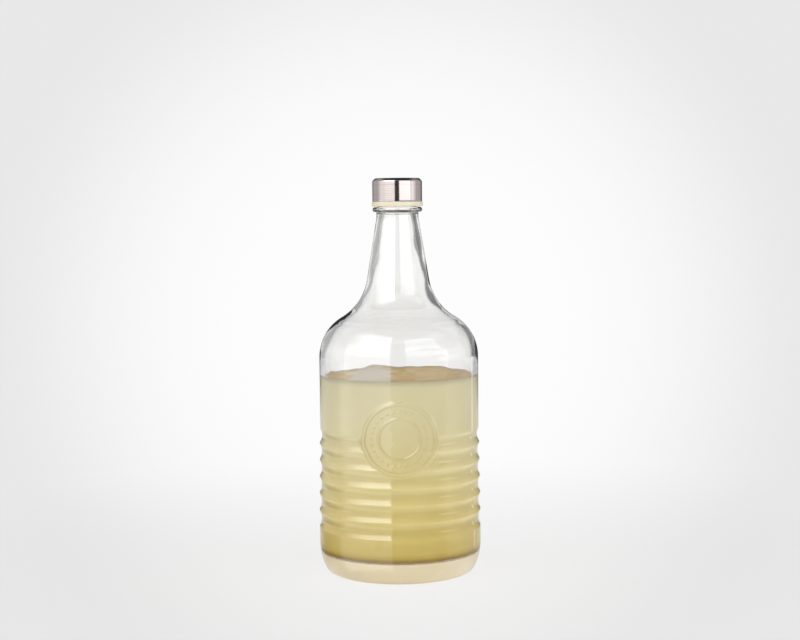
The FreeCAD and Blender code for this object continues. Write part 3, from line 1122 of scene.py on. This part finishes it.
@dataclass
class ScrewCap:
    """The screw cap: a drawn steel shell, the moulded insert with the thread, and the foam liner."""

    glass: GlassBottle
    gap: float = 0.4
    thread_clearance: float = 0.35
    thread_turns: float = 1.25
    thread_root: float = 1.5
    thread_crest: float = 0.8
    insert_wall: float = 1.6
    insert_top: float = 1.6
    flange_height: float = 3.0
    flange_out: float = 0.45
    flange_edge: float = 0.4
    glue_gap: float = 0.05
    shell_wall: float = 0.5
    shell_edge: float = 1.8
    shell_hem: float = 0.22
    edge_soft: float = 0.2
    liner_thickness: float = 1.5
    liner_clearance: float = 0.3
    liner_edge: float = 0.25
    liner_print: float = 0.12
    steps: int = 128
    liner_steps: int = 96
    touch: float = 0.01

    def __post_init__(self) -> None:
        """Works out the heights and radii that other sizes give."""
        glass = self.glass
        self.bottom = glass.bead_top + self.gap
        self.shell_bottom = self.bottom + self.flange_height
        self.ceiling = glass.lip + self.liner_thickness
        self.insert_high = self.ceiling + self.insert_top
        self.high = self.insert_high + self.glue_gap + self.shell_wall
        self.bore = glass.finish_radius + glass.thread_depth + self.thread_clearance
        self.insert_radius = self.bore + self.insert_wall
        self.radius = self.insert_radius + self.glue_gap + self.shell_wall
        self.screw = ScrewThread(
            glass.thread_pitch,
            self.thread_turns,
            glass.thread_low - glass.thread_pitch / 2,
            self.thread_root,
            self.thread_crest,
            glass.thread_depth,
        )

    def bevel(self, depth: float) -> tuple[Pair, Pair]:
        """Ends of the bevelled top edge.

        Args:
            depth: Distance in from the outside of the cap.

        Returns:
            Radius and height of the lower and the upper end.
        """
        leg = self.shell_edge + depth * (math.sqrt(2) - 1)
        return (self.radius - depth, self.high - leg), (self.radius - leg, self.high - depth)

    def build_shell(self) -> bpy.types.Object:
        """Turns the steel shell, with a bevelled top edge and a hemmed lower edge.

        Returns:
            The finished piece.
        """
        inner = self.radius - self.shell_wall
        hem = self.shell_hem
        soft = self.edge_soft
        low, high = self.bevel(0)
        hem_top = self.shell_bottom + hem
        lathe = Lathe("cap_steel", inner, hem_top)
        lathe.arc((inner + hem, hem_top), inner + hem, self.shell_bottom, steps=4)
        lathe.line(self.radius - hem, self.shell_bottom)
        lathe.arc((self.radius - hem, hem_top), self.radius, hem_top, steps=4)
        lathe.line(self.radius, low[1] - 2 * soft, steps=12)
        lathe.line(self.radius, low[1] - soft)
        lathe.line(low[0] - soft / 2, low[1] + soft / 2)
        lathe.line(high[0] + soft / 2, high[1] - soft / 2, steps=4)
        lathe.line(high[0] - soft, high[1])
        lathe.line(0, self.high, steps=10)
        low, high = self.bevel(self.shell_wall)
        lathe.line(0, high[1])
        lathe.line(*high, steps=4)
        lathe.line(*low, steps=4)
        lathe.line(inner, hem_top, steps=4)
        return lathe.turn([(360, self.steps)])

    def build_insert(self) -> bpy.types.Object:
        """Turns the insert and raises its thread on the inside.

        Returns:
            The finished piece.
        """
        flange = self.radius + self.flange_out
        rounding = self.flange_edge
        low, high = self.bevel(self.shell_wall + self.glue_gap)
        lathe = Lathe("cap_insert_cream", self.bore, self.bottom + rounding)
        lathe.arc((self.bore + rounding, self.bottom + rounding), self.bore + rounding, self.bottom, steps=4)
        lathe.line(flange - rounding, self.bottom, steps=2)
        lathe.arc((flange - rounding, self.bottom + rounding), flange, self.bottom + rounding, steps=5)
        lathe.line(flange, self.shell_bottom - rounding / 2, steps=4)
        lathe.arc((flange - rounding / 2, lathe.end[1]), flange - rounding / 2, self.shell_bottom, steps=3)
        lathe.line(self.insert_radius, self.shell_bottom)
        lathe.line(*low, steps=6)
        lathe.line(*high, steps=4)
        lathe.line(0, self.insert_high, steps=4)
        lathe.line(0, self.ceiling)
        lathe.line(self.bore, self.ceiling, steps=6)
        lathe.line(self.bore, self.bottom + rounding, steps=60)
        piece = lathe.turn([(360, self.steps)])
        reshape(piece, self.cut_thread)
        return piece

    def cut_thread(self, places: np.ndarray, normals: np.ndarray) -> np.ndarray:
        """Raises the cap's thread towards the axis.

        Args:
            places: Vertices of the turned insert in millimetres.
            normals: Their normals.

        Returns:
            The new places.
        """
        radius = np.hypot(places[:, 0], places[:, 1])
        inside = (np.abs(radius - self.bore) < self.touch) & (places[:, 2] < self.ceiling - self.touch)
        return at_radius(places, radius - inside * self.screw.rise(places))

    def build_liner(self) -> bpy.types.Object:
        """Turns the foam disc, with the lip's print pressed into its lower face.

        Returns:
            The finished piece.
        """
        glass = self.glass
        low, edge = glass.lip, self.liner_edge
        outer = self.bore - self.liner_clearance
        lathe = Lathe("seal_foam", 0, low)
        lathe.line(glass.lip_inner - edge, low, steps=4)
        lathe.line(glass.lip_inner, low + self.liner_print)
        lathe.line(glass.lip_outer, low + self.liner_print, steps=2)
        lathe.line(glass.lip_outer + edge, low)
        lathe.line(outer - edge, low, steps=2)
        lathe.arc((outer - edge, low + edge), outer, low + edge, steps=4)
        lathe.line(outer, self.ceiling - edge, steps=2)
        lathe.arc((outer - edge, self.ceiling - edge), outer - edge, self.ceiling, steps=4)
        lathe.line(0, self.ceiling, steps=5)
        return lathe.turn([(360, self.liner_steps)])

    def dress(self) -> None:
        """Builds the three pieces and gives each its finish."""
        seat(self.build_shell(), Body.CAP, "cap_shell", BrushedSteel().make())
        seat(self.build_insert(), Body.CAP, "cap_insert", CreamPolypropylene().make())
        seat(self.build_liner(), Body.SEAL, "seal_liner", LinerFoam().make())


def seat(piece: bpy.types.Object, body: Body, node: str, material: bpy.types.Material) -> None:
    """Dresses a piece and puts it in the place of a CAD node.

    Args:
        piece: The new piece.
        body: Body that it moves with.
        node: CAD node that it stands for.
        material: Its finish.
    """
    piece.data.materials.append(material)
    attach(piece, body.value)
    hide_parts(node)
    faces = len(piece.data.polygons)
    LOG.info("%s stands for %s on body %s: %d faces", piece.name, node, body.value, faces)


@dataclass(frozen=True)
class Softbox:
    """A flat lamp beside the camera, seen from the bottle as a span of azimuths and heights."""

    name: str
    azimuth_from: float
    azimuth_to: float
    bottom: float
    top: float
    radiance: float
    distance: float = 1000.0
    in_gloss: bool = False

    def place(self) -> None:
        """Adds the lamp, facing the bottle's axis. It lights matt surfaces or shows in gloss."""
        middle = math.radians((self.azimuth_from + self.azimuth_to) / 2)
        half = math.radians(abs(self.azimuth_to - self.azimuth_from) / 2)
        outwards = Vector((math.sin(middle), -math.cos(middle), 0))
        place = outwards * self.distance * MM
        place.z = (self.bottom + self.top) / 2 * MM
        turn = (-outwards).to_track_quat("-Z", "Y").to_euler()
        bpy.ops.object.light_add(type="AREA", location=place, rotation=turn)
        lamp = bpy.context.object
        lamp.name = self.name
        lamp.data.shape = "RECTANGLE"
        lamp.data.size = 2 * self.distance * MM * math.tan(half)
        lamp.data.size_y = (self.top - self.bottom) * MM
        lamp.data.energy = self.radiance * math.pi * lamp.data.size * lamp.data.size_y
        lamp.visible_camera = False
        lamp.visible_transmission = not self.in_gloss
        lamp.visible_glossy = self.in_gloss
        lamp.visible_diffuse = not self.in_gloss


@dataclass(frozen=True)
class Patch:
    """A part of the room, by azimuth and elevation.

    Each gives where the patch fades in from, is full from, is full to and fades out to. A glow adds its
    level, and a flag takes away that share.
    """

    azimuth: Edges
    elevation: Edges
    level: float

    def cover(self, tree: Tree, azimuth: Socket, elevation: Socket) -> Socket:
        """Adds nodes that give 1 on the patch, with soft edges.

        Args:
            tree: The world's tree.
            azimuth: Azimuth of the ray, from the front towards +X.
            elevation: Elevation of the ray.

        Returns:
            The socket with the patch.
        """
        wide = field_of(tree, azimuth, self.azimuth)
        tall = field_of(tree, elevation, self.elevation)
        return add_node(tree, "Math", {0: wide, 1: tall}, operation="MULTIPLY").outputs[0]


@dataclass
class Studio:
    """Pale floor, a room with bright fields and dark flags, lamps and the camera."""

    camera_distance: float = 1000.0
    camera_height: float = 235.0
    camera_aside: float = 1.7
    camera_tilt: float = 4.02
    camera_roll: float = 0.53
    focal_length: float = 68.85
    sensor: float = 36.0
    floor_radius: float = 520.0
    floor_corners: int = 96
    floor_drop: float = 0.2
    floor_fade: Pair = (104, 494)
    floor_clear: float = 0.8
    fill: float = 0.5
    front_gloss: float = 0.06
    backdrop_angles: Pair = (15.483, 3.714)
    backdrop_levels: Pair = (0.81, 0.98)
    ceiling_rise: Pair = (3, 35)
    ceiling_levels: Pair = (1, 0.6)
    flags: list[Patch] = field(
        default_factory=lambda: [
            Patch((-164, -156, -122, -112), (-8, -4, 20, 35), 0.55),
            Patch((112, 122, 156, 164), (-8, -4, 20, 35), 0.8),
        ]
    )
    softboxes: list[Softbox] = field(
        default_factory=lambda: [
            Softbox("softbox_left", -88, -12, -100, 700, 1.25),
            Softbox("softbox_right", 10, 77, 0, 900, 1.45),
            Softbox("card_right", 9, 60, 225, 360, 2.6, distance=200, in_gloss=True),
        ]
    )
    glows: list[Patch] = field(
        default_factory=lambda: [
            Patch((-98, -48, -14.2, -13), (6, 20, 52, 66), 6.8),
            Patch((-102, -86, -12.2, -10.8), (-45, -35, -6, -3), 1.4),
            Patch((-110, -50, -12.2, -10.8), (-6, -3, 8, 20), 1.8),
            Patch((-170, -125, -85, -60), (-12, -8, 40, 60), 0.75),
            Patch((62, 76, 112, 170), (-91, -90, 40, 60), 0.75),
            Patch((56, 62, 68, 104), (-4, -2, 5, 8), 1.8),
            Patch((-100, -90, 90, 100), (40, 46, 52, 58), 1.0),
            Patch((-181, -180, 180, 181), (-91, -90, -30, -16), 1.0),
            Patch((-181, -180, -160, -120), (-30, -16, -8, -6), 0.6),
            Patch((120, 160, 180, 181), (-30, -16, -8, -6), 0.6),
            Patch((129, 130.5, 132.5, 134), (-14, -11, -4, -2.5), 1.6),
        ]
    )

    def add_floor(self) -> None:
        """Adds the floor, a thin sheet that lets the bright surroundings through and takes the shadow."""
        bpy.ops.object.select_all(action="DESELECT")
        bpy.ops.mesh.primitive_circle_add(
            vertices=self.floor_corners,
            radius=self.floor_radius * MM,
            fill_type="NGON",
            location=(0, 0, -self.floor_drop * MM),
        )
        floor = bpy.context.object
        floor.name = "floor"
        bpy.ops.object.transform_apply(location=True, rotation=True, scale=True)
        material, tree, place = new_material("pale_floor")
        reach = add_node(tree, "VectorMath", {0: place}, operation="LENGTH").outputs["Value"]
        near, far = self.floor_fade
        ends = {"From Min": near * MM, "From Max": far * MM, "To Min": 1.0, "To Max": 0.0}
        cover = add_node(tree, "MapRange", {"Value": reach, **ends}, interpolation_type="SMOOTHSTEP")
        clear = add_node(tree, "BsdfTransparent")
        through = add_node(tree, "BsdfTransparent", {"Color": (*[self.floor_clear] * 3, 1)})
        lit = add_node(tree, "BsdfDiffuse", {"Color": (*[1 - self.floor_clear] * 3, 1)})
        sheet = add_node(tree, "AddShader", {0: through.outputs["BSDF"], 1: lit.outputs["BSDF"]})
        inputs = {"Fac": cover.outputs["Result"], 1: clear.outputs["BSDF"], 2: sheet.outputs["Shader"]}
        faded = add_node(tree, "MixShader", inputs)
        add_node(tree, "OutputMaterial", {"Surface": faded.outputs["Shader"]})
        floor.data.materials.append(material)
        floor.visible_glossy = False

    def add_surroundings(self) -> None:
        """Sets the world: a white backdrop for the eye, a pale room in glass, bright fields in gloss."""
        world = bpy.data.worlds.new("studio")
        bpy.context.scene.world = world
        world.use_nodes = True
        tree = world.node_tree
        tree.nodes.clear()
        ray = add_node(tree, "LightPath").outputs
        towards = add_node(tree, "TexCoord").outputs["Generated"]
        axes = add_node(tree, "SeparateXYZ", {"Vector": towards}).outputs
        ahead = add_node(tree, "Math", {0: axes["Y"], 1: -1.0}, operation="MULTIPLY").outputs[0]
        around = add_node(tree, "Math", {0: axes["X"], 1: ahead}, operation="ARCTAN2").outputs[0]
        azimuth = add_node(tree, "Math", {0: around}, operation="DEGREES").outputs[0]
        lifted = add_node(tree, "Math", {0: axes["Z"]}, operation="ARCSINE").outputs[0]
        elevation = add_node(tree, "Math", {0: lifted}, operation="DEGREES").outputs[0]
        level: Any = self.fill
        for kind, seen in (
            ("Is Glossy Ray", self.add_bright_fields(tree, azimuth, elevation)),
            ("Is Transmission Ray", self.add_pale_room(tree, azimuth, elevation)),
            ("Is Camera Ray", self.add_backdrop(tree, towards)),
        ):
            level = add_node(tree, "Mix", {"Factor": ray[kind], "A": level, "B": seen}).outputs[0]
        air = add_node(tree, "Background", {"Color": (1, 1, 1, 1), "Strength": level})
        add_node(tree, "OutputWorld", {"Surface": air.outputs["Background"]})

    def add_backdrop(self, tree: Tree, towards: Socket) -> Socket:
        """Adds the backdrop, which darkens a little away from the middle of the view.

        Args:
            tree: The world's tree.
            towards: Direction of the ray.

        Returns:
            The socket with its level.
        """
        tilt = math.radians(self.camera_tilt)
        inputs = {0: towards, 1: (0, math.cos(tilt), -math.sin(tilt))}
        ahead = add_node(tree, "VectorMath", inputs, operation="DOT_PRODUCT").outputs["Value"]
        wide, near = (math.cos(math.radians(angle)) for angle in self.backdrop_angles)
        dim, bright = self.backdrop_levels
        inputs = {"Value": ahead, "From Min": wide, "From Max": near, "To Min": dim, "To Max": bright}
        return add_node(tree, "MapRange", inputs, interpolation_type="SMOOTHSTEP").outputs["Result"]

    def add_pale_room(self, tree: Tree, azimuth: Socket, elevation: Socket) -> Socket:
        """Adds the room that is seen through glass: white, with a dim ceiling and dark flags at the back.

        Args:
            tree: The world's tree.
            azimuth: Azimuth of the ray, from the front towards +X.
            elevation: Elevation of the ray.

        Returns:
            The socket with its level.
        """
        low, high = self.ceiling_rise
        bright, dim = self.ceiling_levels
        inputs = {"Value": elevation, "From Min": low, "From Max": high, "To Min": bright, "To Max": dim}
        room = add_node(tree, "MapRange", inputs, interpolation_type="SMOOTHSTEP").outputs["Result"]
        for flag in self.flags:
            inputs = {0: flag.cover(tree, azimuth, elevation), 1: -flag.level, 2: 1.0}
            left = add_node(tree, "Math", inputs, operation="MULTIPLY_ADD").outputs[0]
            room = add_node(tree, "Math", {0: room, 1: left}, operation="MULTIPLY").outputs[0]
        return room

    def add_bright_fields(self, tree: Tree, azimuth: Socket, elevation: Socket) -> Socket:
        """Adds the room that shows in gloss: dark, with the bright fields.

        Args:
            tree: The world's tree.
            azimuth: Azimuth of the ray, from the front towards +X.
            elevation: Elevation of the ray.

        Returns:
            The socket with its level.
        """
        total: Any = self.front_gloss
        for glow in self.glows:
            inputs = {0: glow.cover(tree, azimuth, elevation), 1: glow.level, 2: total}
            total = add_node(tree, "Math", inputs, operation="MULTIPLY_ADD").outputs[0]
        return total

    def add_camera(self) -> None:
        """Adds the camera at the photograph's viewing angle."""
        tilt = math.radians(90 - self.camera_tilt)
        bpy.ops.object.camera_add(
            location=(self.camera_aside * MM, -self.camera_distance * MM, self.camera_height * MM),
            rotation=(tilt, math.radians(self.camera_roll), 0),
        )
        camera = bpy.context.object
        camera.data.lens = self.focal_length
        camera.data.sensor_width = self.sensor
        bpy.context.scene.camera = camera

    def build(self) -> None:
        """Sets up the whole studio."""
        self.add_floor()
        self.add_surroundings()
        for softbox in self.softboxes:
            softbox.place()
        self.add_camera()
        bpy.context.scene.view_settings.view_transform = "Standard"


def main() -> None:
    """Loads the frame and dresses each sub-assembly."""
    logging.basicConfig(level=logging.INFO, format="%(message)s")
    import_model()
    glass = GlassBottle()
    glass.dress()
    Drink(glass).dress()
    ScrewCap(glass).dress()
    Studio().build()


if __name__ == "__main__":
    main()
